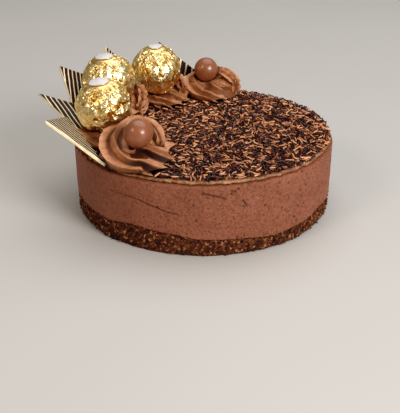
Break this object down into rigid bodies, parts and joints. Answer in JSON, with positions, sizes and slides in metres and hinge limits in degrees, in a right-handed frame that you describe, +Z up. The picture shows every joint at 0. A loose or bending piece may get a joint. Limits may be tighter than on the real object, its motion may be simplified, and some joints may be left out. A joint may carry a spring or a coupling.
{
  "type": "hazelnut cheesecake",
  "caption": "Round chocolate cheesecake on a dark crumb base, with a sprinkled top and a crescent of piped rosettes holding foil-wrapped chocolates, malt balls and striped shards.",
  "frame": {"origin": "middle of the cake's underside, on the axis of the round cake", "axes": "+Z up, +X to the right and +Y away from the viewer as pictured; the rosettes stand round the -X side"},
  "size_m": [0.1818, 0.1624, 0.0871],
  "materials": {
    "crumb": "dark biscuit crumb pressed together, rough and granular",
    "filling": "set chocolate mousse, matte, with small air holes",
    "topping": "thin layer of chocolate cream under dark and milk chocolate strands",
    "cream": "piped chocolate cream, matte, with sharp ridges",
    "foil": "crumpled gold foil",
    "sticker": "plain white oval sticker, no print",
    "malt": "smooth glossy milk chocolate shell",
    "shard": "ivory white chocolate with dark chocolate stripes, softly glossy"
  },
  "bodies": {
    "root": {"crumb_base": "crumb", "filling": "filling", "sprinkled_top": "topping", "rosette_front": "cream", "rosette_front_left": "cream", "rosette_back_left": "cream", "rosette_back_middle": "cream", "rosette_back": "cream", "foil_chocolate_front_left": "foil", "foil_chocolate_back_left": "foil", "foil_chocolate_back_middle": "foil", "sticker_front_left": "sticker", "sticker_back_left": "sticker", "sticker_back_middle": "sticker", "malt_ball_front": "malt", "malt_ball_back": "malt", "striped_shard_front": "shard", "striped_shard_left": "shard", "striped_shard_back_left": "shard", "striped_shard_back": "shard", "striped_shard_back_middle": "shard"}
  },
  "joints": []
}
